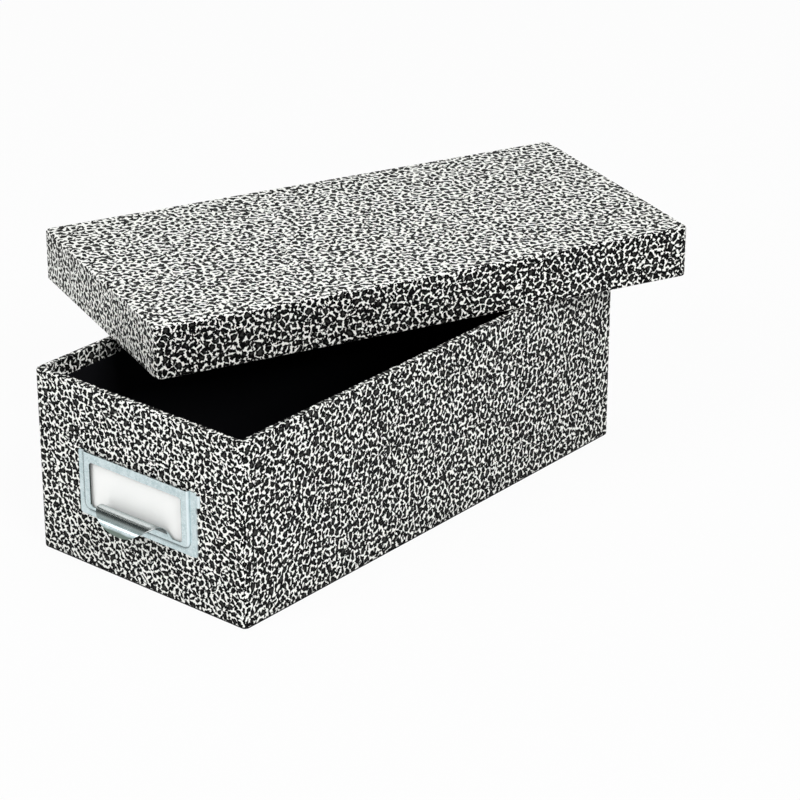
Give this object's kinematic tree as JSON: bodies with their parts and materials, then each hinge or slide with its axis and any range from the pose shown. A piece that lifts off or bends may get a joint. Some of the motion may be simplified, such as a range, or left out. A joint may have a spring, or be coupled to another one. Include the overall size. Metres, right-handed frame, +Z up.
{
  "type": "index card box",
  "caption": "Long rigid-board card box in black and white marbled paper, with a lift-off lid laid askew on its rim and a plated label holder with a curled finger pull on the front end.",
  "frame": {"origin": "centre of the tray's underside, on the surface that the box stands on", "axes": "+Z up; +Y along the box's length, from the label end to the back; the label holder faces -Y"},
  "size_m": [0.2506, 0.3725, 0.1244],
  "materials": {
    "marbled_paper": "satin",
    "black_paper": "matte",
    "grey_board": "matte",
    "gummed_paper": "matte",
    "plated_steel": "satin",
    "white_card": "matte"
  },
  "bodies": {
    "tray": {"tray_floor_board": "grey_board", "tray_front_board": "grey_board", "tray_back_board": "grey_board", "tray_left_board": "grey_board", "tray_right_board": "grey_board", "tray_front_left_stay": "gummed_paper", "tray_front_right_stay": "gummed_paper", "tray_back_left_stay": "gummed_paper", "tray_back_right_stay": "gummed_paper", "tray_cover": "marbled_paper", "tray_underside_sheet": "black_paper", "tray_wall_lining": "black_paper", "tray_floor_lining": "black_paper", "label_holder": "plated_steel"},
    "lid": {"lid_top_board": "grey_board", "lid_front_board": "grey_board", "lid_back_board": "grey_board", "lid_left_board": "grey_board", "lid_right_board": "grey_board", "lid_front_left_stay": "gummed_paper", "lid_front_right_stay": "gummed_paper", "lid_back_left_stay": "gummed_paper", "lid_back_right_stay": "gummed_paper", "lid_cover": "marbled_paper", "lid_wall_lining": "black_paper", "lid_top_lining": "black_paper"},
    "label_card": {"label_card": "white_card"}
  },
  "joints": [
    {"name": "lid_lift", "type": "slide", "parent": "tray", "child": "lid", "axis": [0, 0, 1], "range_m": [0, 0.15]},
    {"name": "label_card_slide", "type": "slide", "parent": "tray", "child": "label_card", "axis": [0, 0, 1], "range_m": [0, 0.03]}
  ]
}
